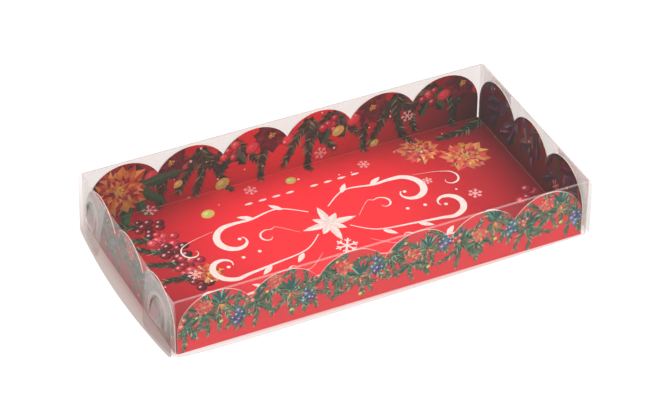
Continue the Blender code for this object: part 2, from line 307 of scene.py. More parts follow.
class Pen:
    """Prints flat shapes in order, each with its colour."""

    LEAF_SHARES = ((0.0, 0.0), (0.16, 0.66), (0.42, 1.0), (0.74, 0.66), (1.0, 0.0))
    HOLLY_SHARES = ((0.0, 0.0), (0.0353, 0.42), (0.1618, 0.82), (0.3294, 0.42), (0.4559, 1.0),
                    (0.6235, 0.42), (0.75, 0.82), (0.92, 0.22), (1.0, 0.0))
    NEEDLE_SHARES = ((0.0, 0.0), (0.35, -0.5), (1.0, 0.0), (0.35, 0.5))
    DISC_POINTS = 12
    SPIRAL_TURN = 2.4

    def __init__(self, seed):
        self.random = random.Random(seed)
        self.shapes = []

    def add(self, points, colour, centre=(0, 0), angle=0.0):
        """A shape, turned by an angle and then moved to a centre."""
        c, s = math.cos(angle), math.sin(angle)
        placed = [(centre[0] + x * c - y * s, centre[1] + x * s + y * c) for x, y in points]
        self.shapes.append((placed, colour))

    def near(self, value, share):
        """The value, up to that share of it more or less."""
        return value * self.random.uniform(1 - share, 1 + share)

    def pick(self, colours):
        return scaled(self.random.choice(colours), self.random.uniform(0.8, 1.2))

    def disc(self, centre, radius, colour, flatten=1.0, angle=0.0):
        turn = 2 * math.pi / self.DISC_POINTS
        ring = [(radius * math.cos(turn * n), radius * flatten * math.sin(turn * n))
                for n in range(self.DISC_POINTS)]
        self.add(ring, colour, centre, angle)

    def bar(self, start, end, width, colour, end_width):
        across = heading(start, end) + math.pi / 2
        near, far = width / 2, end_width / 2
        self.add([ahead(start, across, -near), ahead(end, across, -far),
                  ahead(end, across, far), ahead(start, across, near)], colour)

    def stroke(self, path, width_at, colour):
        """A pen stroke along a path, as wide at each share of its length as width_at says."""
        sides = []
        last = len(path) - 1
        for n, point in enumerate(path):
            across = heading(path[max(n - 1, 0)], path[min(n + 1, last)]) + math.pi / 2
            half = width_at(n / last) / 2
            sides.append((ahead(point, across, half), ahead(point, across, -half)))
        for (a, b), (c, d) in zip(sides, sides[1:]):
            self.add([a, b, d, c], colour)

    def leaf(self, base, angle, length, width, light, dark, edge=LEAF_SHARES):
        for side, colour in ((1, light), (-1, dark)):
            half = [(along * length, side * across * width / 2) for along, across in edge]
            self.add(half, colour, base, angle)

    def veined_leaf(self, base, angle, length, width, light, dark):
        """A large leaf with a midrib and side veins."""
        self.leaf(base, angle, length, width, light, dark)
        rib = scaled(light, 1.7)
        self.bar(base, ahead(base, angle, length * 0.96), width * 0.07, rib, 0.0)
        for n in range(4):
            root = ahead(base, angle, length * (0.16 + 0.17 * n))
            for side in (-1, 1):
                self.bar(root, ahead(root, angle + side * 0.75, width * (0.42 - 0.06 * n)),
                         width * 0.035, rib, 0.0)

    def holly(self, base, angle, length, width, light, dark):
        self.leaf(base, angle, length, width, light, dark, self.HOLLY_SHARES)
        self.bar(base, ahead(base, angle, length * 0.9), width * 0.05, scaled(light, 1.6), 0.0)

    def needle(self, base, angle, length, width, colour):
        points = [(along * length, across * width) for along, across in self.NEEDLE_SHARES]
        self.add(points, colour, base, angle)

    def twig(self, start, angle, reach, bend, steps, leaf, width, spacing, greens, stem, shade):
        """Slender leaves in pairs along a twig that bends halfway, over their own shade.

        leaf and width are a leaf's size, and shade is the width of the shade in leaf lengths.
        """
        middle = ahead(start, angle, reach)
        path = curve_through([start, middle, ahead(middle, angle + bend, reach)], steps)
        self.stroke(path, lambda share: leaf * shade * (1 - 0.6 * share), scaled(greens[0], 0.45))
        legs = [math.dist(a, b) for a, b in zip(path, path[1:])]
        length = sum(legs)
        count = max(int(length / spacing), 3)
        done, leg = 0.0, 0
        for n in range(count):
            at = length * (n + 0.5) / count
            while leg < len(legs) - 1 and done + legs[leg] < at:
                done += legs[leg]
                leg += 1
            way = heading(path[leg], path[leg + 1])
            point = ahead(path[leg], way, at - done)
            for side in (-1, 1):
                turned = way + side * self.near(0.66, 0.25)
                self.needle(point, turned, self.near(leaf * (1.05 - 0.5 * n / count), 0.2),
                            self.near(width, 0.25),
                            scaled(self.pick(greens), 1.2 if (n + side) % 3 else 0.5))
        self.needle(path[-1], heading(*path[-2:]), leaf / 2, width, self.pick(greens))
        self.stroke(path, lambda share: width * (0.5 - 0.3 * share), stem)

    def berries(self, centre, reach, radius, count, colours, shine):
        for n in range(count):
            angle = self.SPIRAL_TURN * n + self.random.uniform(-0.3, 0.3)
            place = ahead(centre, angle, reach * math.sqrt(n / count))
            size, colour = self.near(radius, 0.2), self.pick(colours)
            self.disc(place, size, scaled(colour, 0.45))
            self.disc(ahead(place, 2.2, size * 0.18), size * 0.76, colour)
            self.disc(ahead(place, 2.2, size * 0.38), size * 0.34, scaled(shine, 0.8), 0.7, 0.6)
            self.disc(ahead(place, -0.8, size * 0.5), size * 0.16, scaled(colour, 0.2))

    def bloom(self, centre, radius, rings, petals, colours, heart=GOLD):
        """A round flower of pointed petals in rings that overlap towards its heart."""
        for ring in range(rings):
            reach = radius * (1 - 0.8 * ring / rings)
            for n in range(petals):
                angle = 2 * math.pi * (n + ring / 2) / petals + self.random.uniform(-0.12, 0.12)
                length = self.near(reach, 0.1)
                light, dark = self.pick(colours), self.pick(colours)
                self.leaf(centre, angle, length, length * 6.4 / petals, light, scaled(dark, 0.75))
        for n in range(petals):
            place = ahead(centre, self.SPIRAL_TURN * n, radius * 0.16 * math.sqrt(n / petals))
            self.disc(place, radius * 0.045, scaled(heart, self.random.uniform(0.6, 1.2)))

    def bauble(self, centre, radius, colour, rim):
        self.disc(centre, radius, rim, 0.82, 0.5)
        self.disc(ahead(centre, 2.4, radius * 0.12), radius * 0.84, colour, 0.82, 0.5)
        self.disc(ahead(centre, 2.4, radius * 0.3), radius * 0.4, scaled(colour, 1.35), 0.7, 0.5)

    def star(self, centre, radius, colour, angle=0.0):
        """A six-armed snow star with a pair of barbs on each arm."""
        width, barb = radius * 0.17, radius * 0.136
        for arm in range(6):
            way = angle + arm * math.pi / 3
            self.bar(centre, ahead(centre, way, radius), width, colour, width)
            knee = ahead(centre, way, radius * 0.58)
            for side in (-1, 1):
                end = ahead(knee, way + side * math.pi / 3.4, radius * 0.34)
                self.bar(knee, end, barb, colour, barb)


# The print on the inside, drawn on the unfolded tray: x to the right, y to the back

BACK_CLUSTERS = 12
SNOW_DOTS = 110
SNOW_DOT_RADIUS = 0.0005
INSIDE_TWIG = {"steps": 6, "leaf": 0.0062, "width": 0.0008, "spacing": 0.00085,
               "greens": FOREST, "stem": TWIG, "shade": 0.75}

# Berries along the left end: y in half widths of the floor, and their colours
LEFT_BERRY_SHARES = ((0.74, MAROON), (0.5, CRIMSON), (0.3, MAROON), (0.08, CRIMSON),
                     (-0.15, MAROON))

# Places as shares of half the floor's length and width, and radii in wall heights
STAR_SHARES = (
    (-0.70, 0.98, 0.1305), (-0.22, 0.86, 0.116), (0.17, 1.1, 0.116), (0.34, 0.78, 0.1015),
    (-0.78, -0.52, 0.1305), (-0.86, -1.2, 0.116), (0.55, 0.3, 0.087), (0.9, -1.15, 0.1015),
    (0.2, -1.25, 0.1015), (1.1, -0.5, 0.116), (-0.4, -1.2, 0.087), (0.62, 1.25, 0.116))
BAUBLE_SHARES = (
    (-0.47, 0.70, 0.12), (-0.33, 1.06, 0.128), (-0.02, 0.84, 0.096), (0.26, 1.3, 0.112),
    (-0.55, 1.2, 0.08), (0.45, 1.04, 0.08))

# One half of the scrollwork, in half widths of the floor
SCROLL_SHARES = (
    (0.068, [(0.1, 0.34), (0.34, 0.5), (0.62, 0.46)] + volute((0.86, 0.24), 0.24, 1.9, -5.4)),
    (0.062, [(0.16, 0.0), (0.36, -0.16), (0.7, -0.22)] + volute((1.1, -0.08), 0.22, -2.2, 5.4)),
    (0.056, [(0.06, -0.42), (0.4, -0.54), (0.9, -0.5)] + volute((1.38, -0.42), 0.15, -2.1, 5.2)),
    (0.018, [(0.3, 0.1), (0.46, 0.26)] + volute((0.58, 0.16), 0.11, 2.2, -5.0)),
    (0.018, [(0.24, -0.26), (0.4, -0.4)] + volute((0.56, -0.36), 0.1, -2.4, 5.0)),
    (0.018, [(1.02, 0.44), (1.22, 0.4)] + volute((1.3, 0.24), 0.13, 1.5, -5.0)),
)
SCROLL_LEAF_SHARES = ((0.3, 0.47, 0.9), (0.6, 0.47, 0.5), (0.4, -0.19, -0.8),
                      (0.74, -0.24, -0.6), (0.5, -0.54, 0.6), (0.9, -0.5, 0.7))
SCROLL_DOT_SHARES = ((0.84, 0.24), (1.1, -0.09), (0.75, 0.0), (0.92, -0.02))


def hang_twig(pen, start, angle, length):
    """A leafy twig from a start, bending a little on its way."""
    pen.twig(start, angle, length / 2, pen.random.uniform(-0.35, 0.35), **INSIDE_TWIG)


def draw_right_border(pen):
    """Dark oval leaves on the right wall and two large flowers in the corner of the floor."""
    unit = WALL_TOP
    rows, columns = 11, 5
    for row in range(rows):
        for column in range(columns):
            place = (INNER_X + unit * (0.16 + 0.19 * column),
                     INNER_Y * (-0.96 + 1.92 * (row + column % 2 / 2) / rows))
            place = ahead(place, pen.random.uniform(0, 6), unit * 0.06)
            shade = 1.2 + 0.4 * row / rows
            angle = pen.random.uniform(-1.3, 0.4)
            pen.leaf(place, angle, unit * 0.46, unit * 0.2, scaled(pen.pick(PLUM), shade),
                     scaled(pen.pick(PLUM), shade * 0.4))
            pen.needle(ahead(place, angle + 0.2, unit * 0.09), angle, unit * 0.27, unit * 0.045,
                       scaled(pen.pick(PLUM), shade * 1.6))
    pen.berries((INNER_X - unit * 0.22, -INNER_Y * 0.35), unit * 0.3, unit * 0.1, 8, CRIMSON,
                PALE_PINK)
    hang_twig(pen, (INNER_X, INNER_Y * 0.95), math.pi * 1.12, unit * 0.9)
    for x_share, y_share, radius in ((0.80, 0.5, 0.4), (0.62, 0.76, 0.36)):
        pen.bloom((INNER_X * x_share, INNER_Y * y_share), unit * radius, 6, 11, EMBER + CORAL,
                  scaled(GOLD, 0.8))


def draw_back_border(pen):
    """Greenery along the back wall that hangs over its crease onto the floor."""
    unit, down = WALL_TOP, -math.pi / 2
    for n in range(BACK_CLUSTERS):
        x = INNER_X * (-0.93 + 1.86 * n / (BACK_CLUSTERS - 1))
        top = (x + pen.random.uniform(-1, 1) * unit * 0.1, INNER_Y + unit - unit * 0.1)
        if n % 3 == 0:
            for turn in (-0.55, 0.5, 0.02):
                hang_twig(pen, top, down + turn, unit * pen.random.uniform(0.8, 1.15))
        elif n % 3 == 1:
            hang_twig(pen, top, down + 0.7, unit * 0.7)
            hang_twig(pen, top, down - 0.75, unit * 0.7)
            for turn in (-0.5, 0.6):
                pen.holly(ahead(top, down, unit * 0.2), down + turn, unit * 0.42, unit * 0.24,
                          pen.pick(HOLLY), scaled(HOLLY[1], 0.7))
            pen.berries(ahead(top, down, unit * 0.24), unit * 0.17, unit * 0.085, 5, CRIMSON,
                        PALE_PINK)
        else:
            hang_twig(pen, top, down - 0.3, unit * 0.95)
            pen.bloom(ahead(top, down, unit * 0.12), unit * 0.36, 3, 9, MAROON)
            for turn in (-0.9, 0.8):
                pen.bauble(ahead(top, down + turn, unit * 0.42), unit * 0.13, CRIMSON[2],
                           CRIMSON[1])


def draw_left_border(pen):
    """Warm flowers and berries along the left end, where they show over the wall."""
    unit = WALL_TOP
    left, back = -INNER_X + unit * 0.6, INNER_Y + unit * 0.5
    for turn in (-1.9, -1.3, -0.7, 0.1):
        pen.veined_leaf((left + unit * 0.2, back), turn, unit * pen.near(0.85, 0.2), unit * 0.2,
                        HOLLY[2], HOLLY[0])
    pen.bloom((left - unit * 0.06, back), unit * 0.52, 6, 12, EMBER)
    for y_share, colours in LEFT_BERRY_SHARES:
        centre = (left + unit * (0.15 + 0.3 * (1 - y_share)), INNER_Y * y_share)
        hang_twig(pen, centre, math.pi * 0.85, unit * 0.6)
        pen.berries(centre, unit * 0.24, unit * 0.085, 9, colours, PALE_PINK)
    pen.bloom((left + unit * 0.62, -INNER_Y * 0.1), unit * 0.26, 4, 9, EMBER)


def draw_centre(pen):
    """White scrollwork in the middle of the floor, the same on both sides of its axis."""
    unit = INNER_Y

    def white_leaf(base, angle, length, width):
        pen.leaf(base, angle, unit * length, unit * width, WARM_WHITE, WARM_WHITE)

    for side in (-1, 1):
        def at(x, y):
            return (side * unit * x, unit * y)

        for width, points in SCROLL_SHARES:
            pen.stroke(curve_through([at(x, y) for x, y in points], 6),
                       lambda share: unit * width * (0.16 + 0.84 * math.sin(math.pi * share) ** 2),
                       WARM_WHITE)
        outward = math.pi / 2 - side * math.pi / 2
        for x, y, turn in SCROLL_LEAF_SHARES:
            white_leaf(at(x, y), outward + side * turn, 0.15, 0.055)
        for n in range(4):
            white_leaf(at(0.08 + 0.14 * n, 0.68), outward, 0.09, 0.03)
        for x, y in SCROLL_DOT_SHARES:
            pen.disc(at(x, y), unit * 0.018, WARM_WHITE)
        pen.star(at(1.42, -0.06), unit * 0.07, PALE_PINK)
    for turn in range(8):
        pen.leaf((0, unit * 0.1), turn * math.pi / 4, unit * (0.27 if turn % 2 == 0 else 0.17),
                 unit * 0.08, WARM_WHITE, scaled(WARM_WHITE, 0.86))
    pen.star((0, -unit * 0.26), unit * 0.11, WARM_WHITE)


def draw_snow(pen):
    """Small dots, snow stars and pale baubles over the whole inside."""
    for _ in range(SNOW_DOTS):
        x = pen.random.uniform(-1, 1) * (INNER_X + WALL_TOP)
        y = pen.random.uniform(-1, 1) * (INNER_Y + WALL_TOP)
        if abs(x) >= INNER_X * 0.62 or abs(y) >= INNER_Y * 0.62:
            pen.disc((x, y), pen.near(SNOW_DOT_RADIUS, 0.4), WARM_WHITE)
    for x_share, y_share, radius in STAR_SHARES:
        pen.star((INNER_X * x_share, INNER_Y * y_share), WALL_TOP * radius, PALE_PINK,
                 pen.random.uniform(0, 1))
    for x_share, y_share, radius in BAUBLE_SHARES:
        pen.bauble((INNER_X * x_share, INNER_Y * y_share), WALL_TOP * radius, LIME, GOLD)


def inside_print():
    pen = Pen(7)
    for draw in (draw_right_border, draw_back_border, draw_left_border, draw_centre, draw_snow):
        draw(pen)
    return pen.shapes


# The print on the outside of a wall: x along the wall from its middle, y up from the crease

GARLAND_STEP = 0.0086
GARLAND_TWIG = {"steps": 4, "leaf": 0.0036, "width": 0.00052, "spacing": 0.00078,
                "greens": GARLAND_GREEN, "stem": LIGHT_TWIG, "shade": 0.4}


def garland_print(span, seed):
    """Twigs, flowers and berries in a band along the wall."""
    pen = Pen(seed)
    pick, unit = pen.random.uniform, WALL_TOP
    count = int(span / GARLAND_STEP)
    places = [(-span / 2 + span * (n + 0.5) / count,
               unit * (0.6 + 0.15 * math.sin(n * 1.9 + seed))) for n in range(count)]
    for place in places:
        for turn in (-0.4, -0.95, -1.6, -2.3, 0.6, 1.5, 2.4):
            pen.twig(place, turn + pick(-0.25, 0.25), unit * pick(0.14, 0.24), pick(-0.5, 0.5),
                     **GARLAND_TWIG)
    for n, place in enumerate(places):
        if n % 2 == 0:
            for turn in range(4):
                pen.leaf(ahead(place, 1.5, unit * 0.06), 0.8 + 0.45 * turn, unit * 0.26,
                         unit * 0.07, pen.pick(TEAL), TEAL[0])
        if n % 4 == 1:
            pen.bloom(ahead(place, 1.2, unit * 0.1), unit * 0.15, 3, 9, CORAL)
            for turn in (-0.4, 2.6, 4.0):
                pen.leaf(ahead(place, turn, unit * 0.1), turn, unit * 0.16, unit * 0.07,
                         HOLLY[2], HOLLY[1])
        elif n % 4 == 3:
            pen.berries(ahead(place, -1.3, unit * 0.08), unit * 0.13, unit * 0.045, 8,
                        BLUEBERRY, WARM_WHITE)
        elif n % 4 == 2:
            pen.bauble(ahead(place, -1.5, unit * 0.32), unit * 0.034, LIME, GOLD)
            for turn in range(7):
                pen.bar(place, ahead(place, -0.1 - 0.3 * turn, unit * 0.17), unit * 0.02,
                        pen.pick(EMBER), unit * 0.004)
        else:
            pen.berries(ahead(place, 2.0, unit * 0.12), unit * 0.09, unit * 0.04, 5, CORAL,
                        WARM_WHITE)
            pen.bauble(ahead(place, 0.6, unit * 0.24), unit * 0.028, LIME, GOLD)
    return pen.shapes


# Pieces


def placing(origin, x_axis, y_axis, z_axis):
    """The matrix from a piece's own axes to the frame."""
    return Matrix.Translation(origin) @ Matrix((x_axis, y_axis, z_axis)).transposed().to_4x4()


def new_mesh(name, points, faces, slots=()):
    mesh = bpy.data.meshes.new(name)
    mesh.from_pydata(points, [], faces)
    if slots:
        mesh.polygons.foreach_set("material_index", slots)
    return mesh


def new_object(name, data):
    made = bpy.data.objects.new(name, data)
    bpy.context.scene.collection.objects.link(made)
    return made


def add_piece(mesh, body, materials, node=None):
    """A piece that rides a body, in place of a node of the solids if one is named."""
    for material in materials:
        mesh.materials.append(material)
    piece = new_object(mesh.name, mesh)
    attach(piece, body)
    if node:
        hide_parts(node)


# Tray


def scallop_outline(span, count, radius):
    """Wall outline: x along the wall, y up from the crease."""
    side = span / 2 - CORNER_SLIT
    first = radius - side
    pitch = -2 * first / (count - 1)
    dip = math.asin(pitch / 2 / radius)
    points = [(-side, WALL_FOOT)]
    for number in range(count):
        centre = (first + pitch * number, WALL_TOP - radius)
        start = math.pi if number == 0 else math.pi / 2 + dip
        end = 0 if number == count - 1 else math.pi / 2 - dip
        arc = arc_points(centre, radius, start, end, SCALLOP_STEPS)
        points.extend(arc if number == 0 else arc[1:])
    points.append((side, WALL_FOOT))
    return points


class PrintedSide:
    """One printed face of a board panel, cut into faces along its shapes."""

    BARE = (0.0, 0.0, 0.0, 0.0)

    def __init__(self, outline, shapes):
        low, high = extent(outline)
        near = []
        for loop, colour in shapes:
            loop_low, loop_high = extent(loop)
            if all(loop_high[k] > low[k] and loop_low[k] < high[k] for k in (0, 1)):
                near.append((loop, colour))
        self.points, self.faces, tops = fill(outline, [loop for loop, _ in near])
        self.colours = [self.BARE if top < 0 else (*near[top][1], 1.0) for top in tops]
        loop = max(rim_loops(self.faces), key=len)
        corner = Vector(outline[0])
        first = min(range(len(loop)), key=lambda n: (self.points[loop[n]] - corner).length)
        self.rim = loop[first:] + loop[:first]
        self.reach = self.rim_lengths()

    def rim_lengths(self):
        """How far along the rim each of its points lies, and its start again at the end."""
        lengths = [0.0]
        for a, b in zip(self.rim, self.rim[1:] + self.rim[:1]):
            lengths.append(lengths[-1] + (self.points[b] - self.points[a]).length)
        return lengths


def joined_rims(front, back, offset):
    """Triangles between two rims that follow the same outline with different points."""
    faces = []
    i, j = 0, 0
    ends = (len(front.rim), len(back.rim))
    while (i, j) != ends:
        front_next = front.reach[i + 1] if i < ends[0] else math.inf
        back_next = back.reach[j + 1] if j < ends[1] else math.inf
        a, d = front.rim[i % ends[0]], offset + back.rim[j % ends[1]]
        if front_next <= back_next:
            i += 1
            faces.append([front.rim[i % ends[0]], a, d])
        else:
            j += 1
            faces.append([a, d, offset + back.rim[j % ends[1]]])
    return faces


def printed_panel(panel, body, matrix, outline, outer, inner, materials):
    """A board panel with a print on each side: local z = 0 is its outer side.

    materials are those of the outer side, the inner side and the cut edge.
    """
    front, back = PrintedSide(outline, outer), PrintedSide(outline, inner)
    offset = len(front.points)
    rim = joined_rims(front, back, offset)
    points = [matrix @ Vector((x, y, 0.0)) for x, y in front.points]
    points += [matrix @ Vector((x, y, -BOARD)) for x, y in back.points]
    faces = front.faces + [[offset + number for number in reversed(face)] for face in back.faces]
    slots = [0] * len(front.faces) + [1] * len(back.faces) + [2] * len(rim)
    mesh = new_mesh(f"printed_{panel}", points, faces + rim, slots)
    ink = mesh.attributes.new("ink", "FLOAT_COLOR", "CORNER")
    colours = front.colours + back.colours + [PrintedSide.BARE] * len(rim)
    ink.data.foreach_set("color", [value for face, colour in zip(faces + rim, colours)
                                   for _ in face for value in colour])
    add_piece(mesh, body, materials, f"tray_{panel}")


def make_crease_strips(material):
    """The bent board in the creases between the floor and the walls."""
    outer = rectangle((TRAY_LEFT + BOARD + CREASE_PLAY, -INNER_Y + CREASE_PLAY),
                      (TRAY_RIGHT - BOARD - CREASE_PLAY, INNER_Y - CREASE_PLAY))
    inner = rectangle(FLOOR_LOW, FLOOR_HIGH)
    top = FLOOR_HIGH.z - CREASE_SINK
    rings = ((outer, WALL_FOOT), (outer, top), (inner, top), (inner, WALL_FOOT))
    faces = []
    for here, after in ((0, 4), (4, 8), (8, 12), (12, 0)):
        faces += [[here + n, here + (n + 1) % 4, after + (n + 1) % 4, after + n]
                  for n in range(4)]
    mesh = new_mesh("tray_creases", [(x, y, z) for loop, z in rings for x, y in loop], faces)
    add_piece(mesh, "tray_base", (material,))


def make_tray(shapes, long_outside, shaded_end_outside, inside_look, edge, underside, worn):
    outline = rectangle((FLOOR_LOW.x - TRAY_MIDDLE, FLOOR_LOW.y),
                        (FLOOR_HIGH.x - TRAY_MIDDLE, FLOOR_HIGH.y))
    printed_panel("floor", "tray_base", Matrix.Translation((TRAY_MIDDLE, 0, FLOOR_HIGH.z)),
                  outline, shapes, [], (inside_look, underside, edge))
    make_crease_strips(worn)
    long_wall = (TRAY_LENGTH, TRAY_WIDTH / 2, LONG_SCALLOPS, LONG_SCALLOP_RADIUS, long_outside)
    end_wall = (TRAY_WIDTH, TRAY_LENGTH / 2, END_SCALLOPS, END_SCALLOP_RADIUS, shaded_end_outside)
    for side, along, outward, seed, kind in (
            ("front", X_AXIS, -Y_AXIS, 11, long_wall), ("back", -X_AXIS, Y_AXIS, 23, long_wall),
            ("left", -Y_AXIS, -X_AXIS, 31, end_wall), ("right", Y_AXIS, X_AXIS, 43, end_wall)):
        span, reach, scallops, radius, outside_look = kind

        def folded_up(point):
            """From the unfolded tray to this wall's own plane."""
            flat = Vector((point[0], point[1], 0))
            return (flat.dot(along), flat.dot(outward) - (reach - BOARD))

        inner = [([folded_up(point) for point in loop], colour) for loop, colour in shapes]
        matrix = placing(Vector((TRAY_MIDDLE, 0, 0)) + outward * reach, along, UP, outward)
        printed_panel(f"{side}_wall", f"tray_{side}", matrix,
                      scallop_outline(span, scallops, radius), garland_print(span, seed), inner,
                      (outside_look, inside_look, edge))


# Lid


def held(share):
    """The share, kept between 0 and 1."""
    return min(max(share, 0.0), 1.0)


def arch(share):
    """0 at both ends of an edge and 1 at its widest."""
    return max(math.sin(math.pi * held(share)), 0.0)


def depth_share(z):
    """0 at the lid's top crease and 1 at the free lower edge."""
    return held((LID_TOP - z) / (LID_TOP - SKIRT_FOOT))


def end_bow(side, y, z):
    bow = LEFT_END_BOW if side < 0 else RIGHT_END_BOW
    across = arch(y / LID_HALF_WIDTH / 2 + 1 / 2) ** END_ARCH_SHARE
    return bow * across * depth_share(z) ** END_BOW_RISE_SHARE


def corner_bulge(y, z):
    """How far the free upright edges of an end panel stand off the flaps behind them."""
    fade = math.exp((abs(y) / LID_HALF_WIDTH - 1) / 2 / BULGE_REACH_SHARE)
    return CORNER_BULGE * fade * (1 - math.exp(-depth_share(z) / BULGE_RISE_SHARE))


def long_bow(x, z):
    share = held((x - LID_MIDDLE) / LID_HALF_LENGTH / 2 + 1 / 2)
    along = arch(share ** LONG_WALL_SKEW_SHARE)
    return LONG_WALL_BOW * along * depth_share(z) ** LONG_BOW_RISE_SHARE


def cell_middles(low, high):
    count = max(int((high - low) / SHEET_SPACING), 1)
    return [low + (high - low) * (n + 0.5) / count for n in range(count)]


def clear_sheet(name, body, node, outline, surface, materials, holes=(), hazy_zones=()):
    """A bent clear sheet. surface(u, v, depth) gives a point at that depth under the outside.

    materials are those of the sheet, its cut edge and its hazier, whiter zones.
    """
    columns, rows = (cell_middles(*limits) for limits in zip(*extent(outline)))
    grid = [(u, v) for u in columns for v in rows]
    points, faces, tops = fill(spaced(outline), hazy_zones, [spaced(hole) for hole in holes], grid)
    count = len(points)
    corners = [surface(*point, depth) for depth in (0.0, SHEET) for point in points]
    a, b, c = (corners[number] for number in faces[0])
    looks_out = (b - a).cross(c - a).dot(a - corners[faces[0][0] + count]) > 0
    if not looks_out:
        faces = [face[::-1] for face in faces]
    sides = [[following, here, here + count, following + count] for loop in rim_loops(faces)
             for here, following in zip(loop, loop[1:] + loop[:1])]
    solid = faces + [[number + count for number in reversed(face)] for face in faces]
    slots = [0 if top < 0 else 2 for top in tops] * 2 + [1] * len(sides)
    mesh = new_mesh(name, corners, solid + sides, slots)
    mesh.polygons.foreach_set("use_smooth", [True] * len(solid) + [False] * len(sides))
    mesh.set_sharp_from_angle(angle=SHARP_ANGLE)
    add_piece(mesh, body, materials, node)


def tongue_outline(margin, foot):
    """Upright D: straight sides from the foot, with a half round top. The base line is y = 0."""
    radius = TONGUE_WIDTH / 2 + margin
    shoulder = TONGUE_HEIGHT - TONGUE_WIDTH / 2
    points = arc_points((0, shoulder), radius, 0, math.pi, ARC_STEPS)
    return [(radius, foot)] + points + [(-radius, foot)]


def end_surface(side, inset=0.0, bulge=True):
    """Outer face of an end panel, or of what lies behind it."""
    def surface(y, z, depth):
        reach = LID_HALF_LENGTH - inset - depth + end_bow(side, y, z)
        if bulge:
            reach += corner_bulge(y, z)
        return Vector((LID_MIDDLE + side * reach, y, z))
    return surface


def tongue_frame(side, end):
    """On the end panel's mid surface at the tongue's base: X on the hinge, Y up, Z outward."""
    middle = end * (LID_HALF_WIDTH - TONGUE_FROM_CORNER)
    face = end_surface(side)
    near = face(middle - TONGUE_WIDTH / 2, TONGUE_BASE_HEIGHT, SHEET / 2)
    far = face(middle + TONGUE_WIDTH / 2, TONGUE_BASE_HEIGHT, SHEET / 2)
    foot = (near + far) / 2
    tip = face(middle, TONGUE_BASE_HEIGHT + TONGUE_HEIGHT, SHEET / 2)
    along = (far - near).normalized() * side
    up = tip - foot
    up = (up - along * up.dot(along)).normalized()
    return placing(foot, along, up, along.cross(up))


def panel_outline():
    radius = PANEL_CORNER_RADIUS
    points = [(-LID_HALF_WIDTH, SKIRT_TOP)]
    for side, start in ((-1, math.pi), (1, math.pi * 3 / 2)):
        centre = (side * (LID_HALF_WIDTH - radius), SKIRT_FOOT + radius)
        points += arc_points(centre, radius, start, start + math.pi / 2, CORNER_STEPS)
    return points + [(LID_HALF_WIDTH, SKIRT_TOP)]


def flap_outline(end):
    corner = end * (LID_HALF_WIDTH - SHEET)
    start, free = corner - end * CREASE_GAP, corner - end * FLAP_WIDTH
    lean = math.atan2(FLAP_TAPER, SKIRT_TOP - SKIRT_FOOT)
    radius = FLAP_CORNER_RADIUS
    foot = free + end * FLAP_TAPER
    middle = (foot + end * radius * (1 / math.cos(lean) - math.tan(lean)), SKIRT_FOOT + radius)
    turn = arc_points((0, 0), radius, math.pi + lean, math.pi * 3 / 2, CORNER_STEPS)
    round_corner = [(middle[0] + end * x, middle[1] + y) for x, y in turn]
    return [(free, SKIRT_TOP)] + round_corner + [(start, SKIRT_FOOT), (start, SKIRT_TOP)]


def make_end(side, looks):
    name = "left" if side < 0 else "right"
    slits = []
    for end, place in ((-1, "front"), (1, "back")):
        corner = f"{name}_{place}"
        matrix = tongue_frame(side, end)
        tilted = matrix @ Matrix.Rotation(-TONGUE_TILT, 4, "X")

        def on_panel(margin, foot):
            """The tongue's outline with a margin, as y and z on the end panel."""
            placed = [matrix @ Vector((x, y, 0)) for x, y in tongue_outline(margin, foot)]
            return [(point.y, point.z) for point in placed]

        def tongue_face(x, y, depth):
            return tilted @ Vector((x, y, SHEET / 2 - depth))

        slits.append(on_panel(TONGUE_SLIT, -CREASE_GAP / 2))
        clear_sheet(f"{corner}_tongue", f"{corner}_tongue", f"{corner}_lock_tongue",
                    tongue_outline(0.0, CREASE_GAP / 2), tongue_face, looks["clear_tongue"])
        clear_sheet(f"{corner}_flap", f"{corner}_flap", f"{corner}_corner_flap",
                    flap_outline(end), end_surface(side, FOLD_RADIUS, False), looks["clear_flap"],
                    [on_panel(WINDOW_MARGIN, -CREASE_GAP)],
                    [on_panel(WINDOW_MARGIN + HAZY_RING_WIDTH, 0.0)])
    clear_sheet(f"{name}_end", f"{name}_end", f"lid_{name}_end_panel", panel_outline(),
                end_surface(side), looks[f"clear_{name}_end"], slits)


def fold_strip(middle, half, first, second):
    """Points and faces of a quarter-round fold between two outward directions.

    half reaches from the middle of the folded edge to its end.
    """
    points, faces = [], []
    for step in range(FOLD_LENGTH_STEPS + 1):
        corner = middle + half * (2 * step / FOLD_LENGTH_STEPS - 1)
        centre = corner - (first + second) * FOLD_RADIUS
        for radius in (FOLD_RADIUS, FOLD_RADIUS - SHEET):
            for n in range(FOLD_STEPS + 1):
                angle = FOLD_START + (math.pi / 2 - FOLD_START) * n / FOLD_STEPS
                points.append(centre + (first * math.cos(angle) + second * math.sin(angle)) * radius)
    ring = 2 * (FOLD_STEPS + 1)
    section = list(range(FOLD_STEPS + 1)) + list(range(ring - 1, FOLD_STEPS, -1))
    for start in range(0, FOLD_LENGTH_STEPS * ring, ring):
        faces += [[start + a, start + b, start + ring + b, start + ring + a]
                  for a, b in zip(section, section[1:] + section[:1])]
    faces += [section[::-1], [FOLD_LENGTH_STEPS * ring + n for n in section]]
    if half.dot(first.cross(second)) < 0:
        faces = [face[::-1] for face in faces]
    return points, faces


def make_folds(name, strips, material):
    points, faces = [], []
    for strip in strips:
        more_points, more_faces = fold_strip(*strip)
        faces += [[len(points) + number for number in face] for face in more_faces]
        points += more_points
    mesh = new_mesh(name, points, faces)
    mesh.shade_smooth()
    mesh.set_sharp_from_angle(angle=SHARP_ANGLE)
    add_piece(mesh, "lid", (material,))


